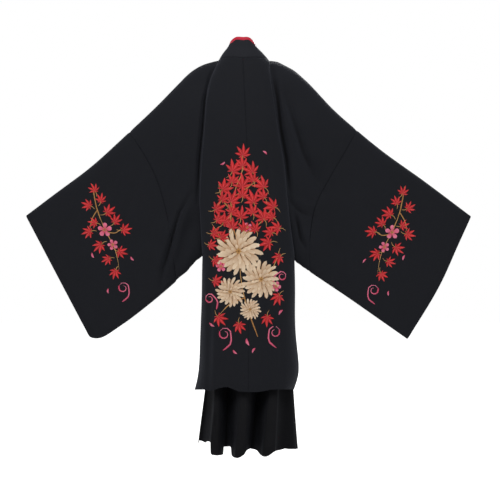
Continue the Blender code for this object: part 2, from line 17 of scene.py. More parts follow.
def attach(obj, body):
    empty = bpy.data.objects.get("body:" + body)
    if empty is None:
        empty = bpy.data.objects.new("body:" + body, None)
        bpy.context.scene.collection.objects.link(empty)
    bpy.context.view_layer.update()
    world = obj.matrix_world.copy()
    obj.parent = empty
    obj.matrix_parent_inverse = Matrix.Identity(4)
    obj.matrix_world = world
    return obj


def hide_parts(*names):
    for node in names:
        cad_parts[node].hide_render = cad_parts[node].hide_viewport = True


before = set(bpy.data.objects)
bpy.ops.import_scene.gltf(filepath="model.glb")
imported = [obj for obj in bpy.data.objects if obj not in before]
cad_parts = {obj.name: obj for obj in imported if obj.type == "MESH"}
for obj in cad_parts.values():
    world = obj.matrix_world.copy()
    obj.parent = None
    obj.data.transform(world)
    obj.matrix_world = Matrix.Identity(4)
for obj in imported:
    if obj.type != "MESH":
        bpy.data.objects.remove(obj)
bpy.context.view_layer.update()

# %% [markdown]
# The photograph looks straight at the back from a few metres away, level with the middle of the robe. A camera there
# with a fairly long lens gives the same outline. The floor is a wide sheet of pale paper in a white studio.

# %% The camera
MM = 1000  # millimetres in a metre
IMAGE = 500  # the picture is square, in pixels
EYE = Vector((-0.005, 2.8, -0.646))
VIEW_WIDTH = 1.70  # metres across the picture at the robe
SENSOR = 36.0  # millimetres
camera_data = bpy.data.cameras.new("camera")
camera_data.sensor_width = SENSOR
camera_data.lens = SENSOR * EYE.y / VIEW_WIDTH
camera = bpy.data.objects.new("camera", camera_data)
camera.location = EYE
camera.rotation_euler = (math.radians(90), 0, math.radians(180))
bpy.context.scene.collection.objects.link(camera)
bpy.context.scene.camera = camera
print("lens", round(camera_data.lens, 1), "mm, so a pixel is", round(VIEW_WIDTH / IMAGE * MM, 2), "mm at the robe")


# %% A helper that deselects everything and takes one object in hand
def take(thing):
    """Makes this the only selected object, and the active one."""
    if bpy.context.mode != "OBJECT":
        bpy.ops.object.mode_set(mode="OBJECT")
    bpy.ops.object.select_all(action="DESELECT")
    thing.select_set(True)
    bpy.context.view_layer.objects.active = thing
    return thing


# %% The paper floor
FLOOR_LEVEL = -1.43  # where a wearer of 1.75 m would stand
FLOOR_HALF = 6.0
bpy.ops.object.select_all(action="DESELECT")
bpy.ops.mesh.primitive_plane_add(size=2 * FLOOR_HALF, location=(0, 0, FLOOR_LEVEL))
floor = bpy.context.object
floor.name = "paper_floor"
bpy.ops.object.transform_apply(location=True)
print("floor at", FLOOR_LEVEL)

# %% [markdown]
# The light is what a product studio has: white all round, and one large soft lamp high over the camera that makes the
# shoulders a little lighter than the hems and gives the folds their shade. A second lamp does the same for the front.
# The plain view transform keeps the paper white and the reds pure.

# %% The light
AROUND = 0.38  # how strongly the white studio lights the cloth from all round
LAMP_SIZE, LAMP_POWER = 1.8, 112  # metres and watts
LAMP_AIM = Vector((0, 0, -0.35))  # both lamps are turned to the robe's upper half
world = bpy.data.worlds.new("studio")
bpy.context.scene.world = world
world.use_nodes = True
world.node_tree.nodes["Background"].inputs["Color"].default_value = (1, 1, 1, 1)
sky = world.node_tree
seen = sky.nodes.new("ShaderNodeLightPath")
strength = sky.nodes.new("ShaderNodeMapRange")
strength.inputs["To Min"].default_value, strength.inputs["To Max"].default_value = AROUND, 1.0
sky.links.new(seen.outputs["Is Camera Ray"], strength.inputs["Value"])
sky.links.new(strength.outputs["Result"], sky.nodes["Background"].inputs["Strength"])
bpy.context.scene.view_settings.view_transform = "Standard"


def soft_lamp(name, place):
    """A square lamp at a place, turned to the robe."""
    lamp_data = bpy.data.lights.new(name, "AREA")
    lamp_data.size, lamp_data.energy = LAMP_SIZE, LAMP_POWER
    lamp = bpy.data.objects.new(name, lamp_data)
    lamp.location = place
    lamp.rotation_euler = (LAMP_AIM - Vector(place)).to_track_quat("-Z", "Y").to_euler()
    bpy.context.scene.collection.objects.link(lamp)
    print(name, "at", place)


soft_lamp("key_lamp", (0.20, 3.1, 2.0))
soft_lamp("front_lamp", (-0.4, -3.1, 2.0))

# %% [markdown]
# Materials are sums of patterns. A small class wraps a socket of the node tree, so a pattern can be written as a line
# of arithmetic, and one method adds any other node: first its settings, then the values or links of its sockets.


# %% A socket that can be used in sums
class Wire:
    """A socket of one material, or its bare tree when it has no socket yet."""

    def __init__(self, tree, socket=None):
        self.tree, self.socket = tree, socket

    def node(self, kind, settings, sockets, output=0):
        made = self.tree.nodes.new(kind)
        for name, value in settings.items():
            setattr(made, name, value)
        for name, value in sockets.items():
            if isinstance(value, Wire):
                self.tree.links.new(value.socket, made.inputs[name])
            else:
                made.inputs[name].default_value = value
        return Wire(self.tree, made.outputs[output])

    def sum_of(self, operation, *terms):
        return self.node("ShaderNodeMath", {"operation": operation}, dict(enumerate(terms)))

    def __add__(self, other):
        return self.sum_of("ADD", self, other)

    def __sub__(self, other):
        return self.sum_of("SUBTRACT", self, other)

    def __rsub__(self, other):
        return self.sum_of("SUBTRACT", other, self)

    def __mul__(self, other):
        return self.sum_of("MULTIPLY", self, other)

    __radd__, __rmul__ = __add__, __mul__

    def sine(self):
        return self.sum_of("SINE", self)

    def clamped(self):
        return self.node("ShaderNodeClamp", {}, {"Value": self})

    def absolute(self):
        return self.sum_of("ABSOLUTE", self)

    def smooth_step(self, start, end):
        return self.node("ShaderNodeMapRange", {"interpolation_type": "SMOOTHSTEP"},
                         {"Value": self, "From Min": start, "From Max": end})

    def mixed(self, first, second):
        """The first colour where this is 0, and the second where it is 1."""
        return self.node("ShaderNodeMix", {"data_type": "RGBA"}, {"Factor": self, 6: first, 7: second}, 2)

    def noise(self, where, scale, detail=2.0):
        return self.node("ShaderNodeTexNoise", {}, {"Vector": where, "Scale": scale, "Detail": detail})

    def object_place(self):
        return self.node("ShaderNodeTexCoord", {}, {}, 3)

    def laid_out(self, layout):
        return self.node("ShaderNodeUVMap", {"uv_map": layout}, {})

    def attribute(self, name):
        return self.node("ShaderNodeAttribute", {"attribute_name": name}, {}, 2)

    def split(self, where):
        made = self.tree.nodes.new("ShaderNodeSeparateXYZ")
        self.tree.links.new(where.socket, made.inputs[0])
        return [Wire(self.tree, output) for output in made.outputs]

    def bump(self, height, distance):
        return self.node("ShaderNodeBump", {}, {"Height": height, "Distance": distance})


# %% A helper that starts a material
def new_finish(name, **constants):
    """A material with its shader, and the numbers that are the same all over it."""
    finish = bpy.data.materials.new(name)
    finish.use_nodes = True
    shader = finish.node_tree.nodes["Principled BSDF"]
    for socket, value in constants.items():
        shader.inputs[socket.replace("_", " ")].default_value = value
    return finish, shader, Wire(finish.node_tree)


def feed(shader, **wires):
    """Links patterns to the shader's sockets."""
    for socket, wire in wires.items():
        wire.tree.links.new(wire.socket, shader.inputs[socket.replace("_", " ")])


# %% [markdown]
# The paper is a plain pale grey-white with a very fine tooth. A cut-out photograph has its background overexposed,
# so the camera sees the paper as white as the studio behind it, and only the robe's soft shadow shows on it.

# %% The paper's material
PAPER_GLOW = (0.72, 0.72, 0.72, 1)  # what the camera sees on top of the light that the paper sends back
paper, shader, tools = new_finish("floor_paper", Specular_IOR_Level=0.1, Emission_Strength=1.0)
tooth = tools.noise(tools.object_place(), 220.0)
in_view = tools.node("ShaderNodeLightPath", {}, {})
feed(shader, Base_Color=tooth.mixed((0.90, 0.90, 0.90, 1), (0.93, 0.93, 0.93, 1)), Roughness=0.85 + 0.1 * tooth,
     Emission_Color=in_view.mixed((0, 0, 0, 1), PAPER_GLOW))
floor.data.materials.append(paper)
print("paper glows by", PAPER_GLOW)

# %% [markdown]
# Each piece of cloth starts from its own wall in the frame. A real maker cuts a flat piece and sews it, and here the
# outer face of the wall already has that piece's shape and edges. So the outer face is copied, its triangles are
# joined to four-sided faces, and a subdivision surface makes it smooth and fine enough for small creases.

# %% Which faces are the outer face of a wall
RIM_HEIGHT = 0.0024  # the rims are low triangles: a wall is 2 mm thick
SAME_WAY = 0.6  # the slivers of the outer face look the same way as it, at least this much


def face_height(face):
    return 2 * face.calc_area() / max(edge.calc_length() for edge in face.edges)


def connected_groups(faces):
    """Sorts faces into groups that hang together."""
    left, groups = set(faces), []
    while left:
        group = [left.pop()]
        for face in group:
            for edge in face.edges:
                for other in edge.link_faces:
                    if other in left:
                        left.remove(other)
                        group.append(other)
        groups.append(group)
    return groups


def faces_away(group):
    """How much a group of faces looks away from the robe's upright axis."""
    return sum(face.calc_area() * face.normal.xy.dot(face.calc_center_median().xy) for face in group)


def tree_of(faces):
    return BVHTree.FromPolygons(
        [loop.vert.co for face in faces for loop in face.loops],
        [[3 * i, 3 * i + 1, 3 * i + 2] for i in range(len(faces))])


def outer_faces(form):
    """The faces of a wall's outer side: its largest group that looks outward, and the slivers that lie along it."""
    broad = [face for face in form.faces if face_height(face) > RIM_HEIGHT]
    inner, *_, outer = sorted(connected_groups(broad), key=faces_away)
    inner_tree, outer_tree, kept = tree_of(inner), tree_of(outer), set(outer)
    for face in form.faces:
        if face not in kept:
            centre = face.calc_center_median()
            _, normal, _, to_outer = outer_tree.find_nearest(centre)
            to_inner = inner_tree.find_nearest(centre)[3]
            if to_outer < to_inner and normal.dot(face.normal) > SAME_WAY:
                kept.add(face)
    return kept


# %% Helpers that read a mesh and make the fine sheet
FIT_ROUNDS = 4
SAME_CORNER = 1e-5  # corners closer than this are one
FLAT_ENOUGH = math.radians(70)  # two triangles that bend less than this become one four-sided face


def places(mesh):
    """The vertices of a mesh as an array that can be changed and written back."""
    at = np.empty(len(mesh.vertices) * 3)
    mesh.vertices.foreach_get("co", at)
    return at.reshape(-1, 3)


def put_places(mesh, at):
    mesh.vertices.foreach_set("co", at.ravel())
    mesh.update()


def fit_to_corners(sheet):
    """Moves the corners of a subdivided sheet until the smooth surface passes where they were at first."""
    wanted = places(sheet.data)
    for _ in range(FIT_ROUNDS):
        bpy.context.view_layer.update()
        smooth = sheet.evaluated_get(bpy.context.evaluated_depsgraph_get())
        missed = wanted - places(smooth.data)[:len(wanted)]
        put_places(sheet.data, places(sheet.data) + missed)
    return float(np.abs(missed).max())


def fine_sheet(node, name, levels):
    """A finer copy of the outer face of a frame node's wall."""
    sheet = bpy.data.objects.new(name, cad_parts[node].data.copy())
    sheet.data.materials.clear()
    bpy.context.scene.collection.objects.link(sheet)
    take(sheet)
    if sheet.data.has_custom_normals:
        bpy.ops.mesh.customdata_custom_splitnormals_clear()
    bpy.ops.object.mode_set(mode="EDIT")
    bpy.ops.mesh.select_all(action="SELECT")
    bpy.ops.mesh.remove_doubles(threshold=SAME_CORNER)
    form = bmesh.from_edit_mesh(sheet.data)
    kept = outer_faces(form)
    bpy.ops.mesh.select_all(action="DESELECT")
    for face in form.faces:
        face.select_set(face not in kept)
    bmesh.update_edit_mesh(sheet.data)
    bpy.ops.mesh.delete(type="FACE")
    bpy.ops.mesh.select_all(action="SELECT")
    bpy.ops.mesh.tris_convert_to_quads(face_threshold=FLAT_ENOUGH, shape_threshold=FLAT_ENOUGH)
    bpy.ops.object.mode_set(mode="OBJECT")
    smooth = sheet.modifiers.new("fine", "SUBSURF")
    smooth.levels = smooth.render_levels = levels
    smooth.boundary_smooth = "PRESERVE_CORNERS"
    left_over = fit_to_corners(sheet)
    bpy.ops.object.modifier_apply(modifier="fine")
    bpy.ops.object.shade_smooth()
    print(name, len(sheet.data.polygons), "faces, off the frame by", round(left_over * MM, 2), "mm at most")
    return sheet


# %% The sheets of all the pieces
SHEETS = {
    # piece: node
    "coat_half_left": "coat_body_left",
    "coat_half_right": "coat_body_right",
    "lower_sleeve_left": "coat_sleeve_left",
    "lower_sleeve_right": "coat_sleeve_right",
    "coat_band": "coat_collar_band",
    "red_collar": "inner_collar_red",
    "top_back": "inner_top_back",
    "top_front_left": "inner_top_front_left",
    "top_front_right": "inner_top_front_right",
    "waistband": "skirt_waistband",
    "skirt_rear": "skirt_back",
    "skirt_fore": "skirt_front",
}
COARSER = ("coat_band", "red_collar", "top_back", "top_front_left", "top_front_right", "waistband")
FINE, COARSE = 3, 2  # rounds of subdivision
sheets = {name: fine_sheet(node, name, COARSE if name in COARSER else FINE) for name, node in SHEETS.items()}

# %% [markdown]
# Cloth that hangs is never quite smooth. The frame has the large folds, and the small ones are listed here, a
# row each: a line of points across the coat's back or front, with how far the cloth stands out or in along it and how
# wide the fold is. Each is strongest in its middle and runs out at its ends.

# %% Small creases of the coat
BACK_CREASES = [
    # height, half width, points (x, z), in millimetres
    (-19, 6, [(112, -30), (128, -60), (146, -150), (153, -250), (164, -350), (170, -450), (172, -500)]),
    (4, 12, [(124, -40), (160, -150), (172, -250), (186, -360)]),
    (-19, 9, [(-70, -20), (-82, -60), (-97, -150), (-108, -250), (-127, -350), (-138, -450), (-142, -500)]),
    (-11, 12, [(-112, -100), (-141, -190), (-184, -320), (-235, -420), (-262, -470)]),
    (5, 12, [(-104, -120), (-124, -220), (-150, -320), (-180, -400)]),
    (-15, 7.5, [(176, -450), (200, -467), (232, -521), (243, -554), (264, -628), (291, -715), (298, -790)]),
    (6, 12, [(200, -490), (216, -540), (236, -620), (262, -700)]),
    (5, 12, [(240, -500), (262, -560), (286, -640), (312, -720)]),
    (-10, 7.5, [(-134, -470), (-150, -496), (-178, -520), (-226, -536)]),
    (5, 10, [(-160, -470), (-196, -496), (-240, -500)]),
    (-13, 8, [(-150, -505), (-166, -560), (-176, -610), (-196, -650)]),
    (-5.5, 11, [(73, -300), (76, -500), (72, -720), (66, -950)]),
    (4, 12, [(48, -340), (52, -600), (47, -850)]),
    (-5, 11, [(-62, -330), (-67, -520), (-60, -750), (-58, -900)]),
    (4, 12, [(-38, -520), (-36, -800), (-41, -1020)]),
    (-2.5, 12, [(15, -780), (12, -950), (18, -1110)]),
    (4.5, 10, [(104, -700), (108, -900), (114, -1110)]),
    (-5, 10, [(128, -720), (126, -900), (131, -1120)]),
    (-4.8, 10, [(-106, -740), (-104, -920), (-110, -1110)]),
    (2.5, 10, [(-86, -680), (-88, -920), (-92, -1120)]),
    (2.5, 13, [(196, -160), (240, -300), (270, -440)]),
    (2.8, 12, [(-170, -140), (-222, -270), (-262, -400)]),
    (-2.5, 16, [(340, -340), (405, -500), (440, -660), (450, -800)]),
    (2.2, 18, [(420, -400), (500, -550), (560, -700)]),
    (-2, 16, [(520, -440), (600, -560), (660, -660)]),
    (2.5, 14, [(330, -620), (352, -740), (366, -860)]),
    (-2.2, 16, [(-345, -400), (-400, -520), (-432, -660), (-440, -780)]),
    (2.2, 18, [(-430, -420), (-512, -560), (-570, -680)]),
    (-2, 16, [(-530, -460), (-604, -570), (-655, -670)]),
    (2.2, 14, [(-300, -580), (-330, -700), (-352, -820)]),
    (-1.8, 10, [(30, -60), (46, -120), (52, -200)]),
    (-1.6, 10, [(-20, -60), (-36, -120), (-44, -200)]),
]
FRONT_CREASES = [
    (-3.5, 11, [(80, -200), (88, -450), (84, -720), (80, -1000)]),
    (3, 12, [(108, -360), (112, -640), (118, -980)]),
    (-3.2, 11, [(-84, -240), (-90, -500), (-82, -800), (-86, -1060)]),
    (3, 12, [(-112, -400), (-114, -700), (-120, -1040)]),
    (-3, 12, [(158, -140), (192, -280), (200, -440)]),
    (2.6, 13, [(205, -180), (255, -340), (280, -480)]),
    (-2.8, 12, [(-152, -180), (-192, -300), (-222, -440)]),
    (2.6, 13, [(-200, -180), (-248, -320), (-276, -460)]),
    (2.8, 10, [(205, -480), (250, -540), (310, -600)]),
    (2.6, 10, [(-196, -500), (-246, -560), (-300, -620)]),
    (-2.4, 16, [(350, -360), (420, -540), (452, -720)]),
    (2.2, 18, [(450, -420), (530, -580), (580, -700)]),
    (-2.4, 16, [(-350, -400), (-412, -540), (-440, -720)]),
    (2.2, 18, [(-444, -440), (-520, -580), (-572, -700)]),
]
FOLD_ROOM = 0.020  # creases fade where the back and front come closer than this
RUN_OUT = 0.7  # the smaller, the nearer to its ends a crease keeps its height


def along_line(x, z, points):
    """How far places lie from a line of points, and where along it, from 0 to 1."""
    steps = np.diff(points, axis=0)
    lengths = np.hypot(*steps.T)
    starts = np.concatenate([[0], np.cumsum(lengths)])
    nearest, where = np.full(x.shape, np.inf), np.zeros(x.shape)
    for start, step, length, run in zip(points, steps, lengths, starts):
        share = np.clip(((x - start[0]) * step[0] + (z - start[1]) * step[1]) / length**2, 0, 1)
        apart = np.hypot(x - start[0] - share * step[0], z - start[1] - share * step[1])
        where = np.where(apart < nearest, (run + share * length) / starts[-1], where)
        nearest = np.minimum(nearest, apart)
    return nearest, where


def keep_value(sheet, name, values):
    """Keeps one value a point, which the materials read."""
    sheet.data.attributes.new(name, "FLOAT", "POINT").data.foreach_set("value", values)


def crease(sheet):
    """Moves the points of one sheet of the coat along the creases that cross it."""
    at = places(sheet.data)
    shift = np.zeros(len(at))
    for outward, creases in ((1, BACK_CREASES), (-1, FRONT_CREASES)):
        on_face = outward * at[:, 1] > 0
        for height, half_width, points in creases:
            apart, where = along_line(at[:, 0], at[:, 2], np.array(points) / MM)
            swell = np.exp(-((apart / (half_width / MM)) ** 2)) * np.sin(np.pi * np.clip(where, 0, 1)) ** RUN_OUT
            shift += np.where(on_face, outward, 0) * (height / MM) * swell
    shift *= np.clip(np.abs(at[:, 1]) / FOLD_ROOM, 0, 1)
    # how deep the cloth is pushed in; the black cloth paints shade into its colour from this
    keep_value(sheet, "fold_depth", np.maximum(0, -shift * np.sign(at[:, 1])))
    at[:, 1] += shift
    put_places(sheet.data, at)
    print(sheet.name, "creases up to", round(float(np.abs(shift).max()) * MM, 1), "mm")


CREASED = ("coat_half_left", "coat_half_right", "lower_sleeve_left", "lower_sleeve_right")
for name in CREASED:
    crease(sheets[name])

# %% [markdown]
# A hem is cut before it is sewn, and the folds then lift it unevenly. Its line is easiest to read from where the
# camera stands, so the two hems of the back are given as they are seen from there, on the plane through the shoulders.
# Each hem is moved to its line, and the cloth above follows it less and less. The sides hang in a little near the
# hems too, and the two collars stand higher in the middle of the neck than beside it.

# %% The lines of the hems, the sides and the neck
COAT_HEM = [
    # x, z as the eye sees them, in millimetres
    (175, -1121), (150, -1121), (137, -1125), (121, -1123), (104, -1117), (87, -1113), (70, -1112), (63, -1115),
    (46, -1122), (32, -1127), (2, -1129), (-32, -1129), (-53, -1126), (-73, -1121), (-107, -1120), (-155, -1120),
]
SKIRT_HEM = [
    (190, -1297), (134, -1297), (131, -1300), (129, -1338), (124, -1343), (108, -1345), (91, -1343), (86, -1340),
    (84, -1315), (63, -1314), (60, -1318), (58, -1344), (51, -1351), (39, -1354), (28, -1351), (14, -1341),
    (6, -1327), (-5, -1321), (-21, -1324), (-29, -1328), (-39, -1341), (-49, -1348), (-59, -1349), (-70, -1345),
    (-83, -1335), (-93, -1329), (-111, -1325), (-124, -1321), (-135, -1323), (-190, -1323),
]
COAT_LOWEST, SKIRT_LOWEST = -1.02, -1.20  # all corners of each hem lie below this
HEM_REACH = 0.12  # the cloth follows its hem up to this height
LEVEL = 0.9  # an edge of the hem rises by less than this share of its length
BACK_ONLY = (0, 0.03)  # the line has no hold at the sides, and its full hold this far behind
FROM_SEAM = (0, 0.02)  # nor where a hem meets the partner's, and its full hold this far off
SKIRT_SIDE = [(-1290, 0), (-1120, 8.5), (-1050, 8.5), (-950, 0)]
TAKEN_IN = [
    # piece, side, where it starts beside the middle, how far it is taken in at a height: (z, distance), in millimetres
    ("coat_half_right", -1, 100, [(-1130, 10), (-1110, 9), (-1080, 3), (-1055, 0)]),
    ("skirt_rear", 1, 90, SKIRT_SIDE), ("skirt_fore", 1, 90, SKIRT_SIDE),
]
TAKEN_FADE = 0.05  # from its start, the taking in needs this far to be full
NECK_MIDDLE = 0.020
NECK_ARCH = 0.0055  # the collars stand this much higher in the middle of the neck
ARCH_ASIDE, ARCH_HEIGHT = (0.048, 0.018), (0.005, 0.050)  # where the arch starts and is full, in width and height
NECK_SLOPE = 0.006  # the band's top edge falls this far towards the sides of the neck
SLOPE_ASIDE, SLOPE_HEIGHT = (0.018, 0.038), (0.016, 0.046)  # where the slope starts and is full
print("hem lines", len(COAT_HEM), "and", len(SKIRT_HEM), "points")


# %% Hems, sides and neck
def tree_of_points(points):
    tree = KDTree(len(points))
    for i, point in enumerate(points):
        tree.insert(point, i)
    tree.balance()
    return tree


def fade(values, start, full):
    """From 0 at the start to 1 where it is full, softly at both ends."""
    share = np.clip((values - start) / (full - start), 0, 1)
    return share * share * (3 - 2 * share)


def border_edges(mesh):
    """The edges of a mesh that only one face has."""
    counts = {}
    for face in mesh.polygons:
        for key in face.edge_keys:
            counts[key] = counts.get(key, 0) + 1
    return [key for key, count in counts.items() if count == 1]


def cut_hem(sheet, line, lowest, partner=None):
    """Moves the back of a hem to its line. The cloth above it follows."""
    at = places(sheet.data)
    hem = sorted({corner for a, b in border_edges(sheet.data) for corner in (a, b)
                  if at[a, 2] < lowest and abs(at[a, 2] - at[b, 2]) < LEVEL * np.linalg.norm(at[a] - at[b])})
    nearer = EYE.y / (EYE.y - at[hem, 1])
    seen_x, seen_z = EYE.x + (at[hem, 0] - EYE.x) * nearer, EYE.z + (at[hem, 2] - EYE.z) * nearer
    line = np.array(sorted(line)) / MM
    lift = (np.interp(seen_x, *line.T) - seen_z) / nearer * fade(at[hem, 1], *BACK_ONLY)
    if partner:
        joined_to = tree_of_points(places(partner.data))
        lift *= fade(np.array([joined_to.find(at[corner])[2] for corner in hem]), *FROM_SEAM)
    below = tree_of_points(np.column_stack([at[hem, :2], np.zeros(len(hem))]))
    for i in np.nonzero(at[:, 2] < lowest + HEM_REACH)[0]:
        nearest = below.find((at[i, 0], at[i, 1], 0))[1]
        at[i, 2] += lift[nearest] * fade(at[i, 2] - at[hem[nearest], 2], HEM_REACH, 0)
    put_places(sheet.data, at)
    print(sheet.name, "hem moved by up to", round(float(np.abs(lift).max()) * MM, 1), "mm")


cut_hem(sheets["coat_half_left"], COAT_HEM, COAT_LOWEST)
cut_hem(sheets["coat_half_right"], COAT_HEM, COAT_LOWEST)
cut_hem(sheets["skirt_rear"], SKIRT_HEM, SKIRT_LOWEST, sheets["skirt_fore"])
for name, side, start, heights in TAKEN_IN:
    at = places(sheets[name].data)
    taken = np.interp(at[:, 2], *np.array(heights).T / MM) * fade(side * at[:, 0], start / MM, start / MM + TAKEN_FADE)
    at[:, 0] -= side * taken
    put_places(sheets[name].data, at)
for name in ("coat_band", "red_collar"):
    at = places(sheets[name].data)
    aside = np.abs(at[:, 0] - NECK_MIDDLE)
    lift = NECK_ARCH * fade(aside, *ARCH_ASIDE) * fade(at[:, 2], *ARCH_HEIGHT)
    if name == "coat_band":
        lift -= NECK_SLOPE * fade(aside, *SLOPE_ASIDE) * fade(at[:, 2], *SLOPE_HEIGHT)
    at[:, 2] += lift
    put_places(sheets[name].data, at)

# %% [markdown]
# A maker sees two kinds of edges: seams, where pieces are sewn together, and free edges, which are turned in twice
# and stitched down. Both show as fine lines in the cloth. So every point of a sheet keeps its distance to the nearest
# seam and to the nearest free edge, and the materials draw the folds and stitches from these distances.


# %% Which edges are sewn and which are free
SEWN_WITHIN = 0.0016  # two edges closer than this are sewn together
EDGE_STEP = 0.001
EDGE_REACH = 0.060  # the materials need no larger distances
SEAM_DIP = 0.0016  # the thread pulls the cloth in this far along a seam
SEAM_WIDE = 0.0035


def edge_points(sheet):
    """Points along the border of a sheet, a millimetre apart."""
    at, borders = places(sheet.data), []
    for a, b in border_edges(sheet.data):
        steps = max(1, int(np.linalg.norm(at[a] - at[b]) / EDGE_STEP))
        borders.append(at[a] + np.arange(steps)[:, None] / steps * (at[b] - at[a]))
    return np.concatenate(borders)


def distances(at, points):
    """The distance of each place to the nearest of some points, but never more than the reach."""
    if not len(points):
        return np.full(len(at), EDGE_REACH)
    tree = tree_of_points(points)
    return np.array([min(EDGE_REACH, tree.find(place)[2]) for place in at])


def drawn_together(sheet, partner):
    """Closes a seam: the corners along it move half the way to the other sheet's edge."""
    at, edge = places(sheet.data), tree_of_points(edge_points(partner))
    for corner in {corner for pair in border_edges(sheet.data) for corner in pair}:
        nearest, _, gap = edge.find(at[corner])
        if gap < SEWN_WITHIN:
            at[corner] += 0.5 * (np.array(nearest) - at[corner])
    put_places(sheet.data, at)


drawn_together(sheets["coat_half_left"], sheets["coat_half_right"])
drawn_together(sheets["coat_half_right"], sheets["coat_half_left"])
borders = {name: edge_points(sheet) for name, sheet in sheets.items()}
border_trees = {name: tree_of_points(points) for name, points in borders.items()}
for name, sheet in sheets.items():
    others = [tree for other, tree in border_trees.items() if other != name]
    sewn = np.array([min(tree.find(point)[2] for tree in others) < SEWN_WITHIN for point in borders[name]])
    at = places(sheet.data)
    seam_far = distances(at, borders[name][sewn])
    keep_value(sheet, "seam_far", seam_far)
    keep_value(sheet, "edge_far", distances(at, borders[name][~sewn]))
    dip = SEAM_DIP * np.exp(-(seam_far / SEAM_WIDE) ** 2)
    normals = np.empty(len(sheet.data.vertices) * 3)
    sheet.data.vertices.foreach_get("normal", normals)
    put_places(sheet.data, at - normals.reshape(-1, 3) * dip[:, None])
    print(name, "sewn share of its border", round(float(sewn.mean()), 2))

# %% [markdown]
# Little light reaches the bottom of a deep fold, so a darker tone is painted into the cloth there as shade. The coat's
# sheets already keep how deep their creases are. The skirt's folds are part of the frame, so here each point of the
# skirt keeps how far it lies behind the crests of the folds at its height.

# %% How deep the skirt's folds lie behind its crests
ROW = 0.04  # the crests are found anew every 4 cm down the skirt
CREST = 90  # this many points in a hundred lie behind a crest
for name, sheet in sheets.items():
    if name in CREASED:
        continue
    at = places(sheet.data)
    behind = np.zeros(len(at))
    if name.startswith("skirt"):
        outward = at[:, 1] * (1 if name == "skirt_rear" else -1)
        rows = np.round(at[:, 2] / ROW).astype(int)
        found = np.unique(rows)
        crests = [np.percentile(outward[rows == row], CREST) for row in found]
        behind = np.maximum(0, np.interp(at[:, 2], found * ROW, crests) - outward)
        print(name, "folds up to", round(float(behind.max()) * MM), "mm deep")
    keep_value(sheet, "fold_depth", behind)

# %% [markdown]
# The weave follows the cloth. Each sheet is laid out flat from the side, the back or the front, whichever fits best,
# in real metres, so the threads have the same size on every piece.

# %% Layout for the weave, and the thickness of the cloth
THICKNESS = {"coat_band": 0.0019, "red_collar": 0.0016, "waistband": 0.0018}
PLAIN_THICKNESS = 0.0012
SHARP = math.radians(60)  # edges that bend more than this stay sharp


def finish_cloth(sheet):
    """Lays out the weave and gives the sheet its thickness, inwards from the outer face."""
    take(sheet)
    while sheet.data.uv_layers:
        sheet.data.uv_layers.remove(sheet.data.uv_layers[0])
    sheet.data.uv_layers.new(name="weave")
    bpy.ops.object.mode_set(mode="EDIT")
    bpy.ops.mesh.select_all(action="SELECT")
    bpy.ops.uv.cube_project(cube_size=1.0, correct_aspect=False, scale_to_bounds=False)
    bpy.ops.object.mode_set(mode="OBJECT")
    wall = sheet.modifiers.new("thickness", "SOLIDIFY")
    wall.thickness = THICKNESS.get(sheet.name, PLAIN_THICKNESS)
    wall.offset = -1.0
    bpy.ops.object.modifier_apply(modifier="thickness")
    bpy.ops.object.shade_smooth_by_angle(angle=SHARP)


back_trees = {name: BVHTree.FromObject(sheet, bpy.context.evaluated_depsgraph_get())
              for name, sheet in sheets.items()}
for sheet in sheets.values():
    finish_cloth(sheet)
print("all sheets have their thickness")

# %% [markdown]
# The black cloth is a dull, closely woven stuff with a slight blue in it. It is never one flat black: the threads
# catch light unevenly, there are faint clouds of a lighter tone, and the surface has tiny dents between the folds.

# %% The black cloth
THREADS = 2 * math.pi / 0.0011  # one thread and its gap in 1.1 mm
HEM_DEPTH = 0.022  # a free edge is turned in this far
STITCHED_AT = 0.0185  # and stitched down this far from it
HEM_STEP = 0.0015  # the step at a hem's inner edge is twice this wide
STITCH_FADE = 900.0  # one over the half width of the row of stitches
SEAM_LINE = (0.0002, 0.0022)  # a seam is a dark line that ends between these distances
PUCKERED = 0.014  # the thread of a seam puckers the cloth this far
CLOTH_RELIEF = 0.00045
BLACKS = {
    # cloth: dark tone, light tone, painted shade tone for the folds, the depths between which a fold turns to it, shine
    "coat_black": ((0.0050, 0.0054, 0.0072, 1), (0.0100, 0.0106, 0.0135, 1), (0.0008, 0.0008, 0.0011, 1),
                   (0.005, 0.016), 0.10),
    "band_black": ((0.0090, 0.0095, 0.0122, 1), (0.0160, 0.0166, 0.0205, 1), (0.0050, 0.0054, 0.0072, 1),
                   (0.005, 0.016), 0.10),
    "skirt_black": ((0.0036, 0.0036, 0.0042, 1), (0.0130, 0.0131, 0.0145, 1), (0.0036, 0.0036, 0.0042, 1),
                    (0.028, 0.080), 0.03),
}


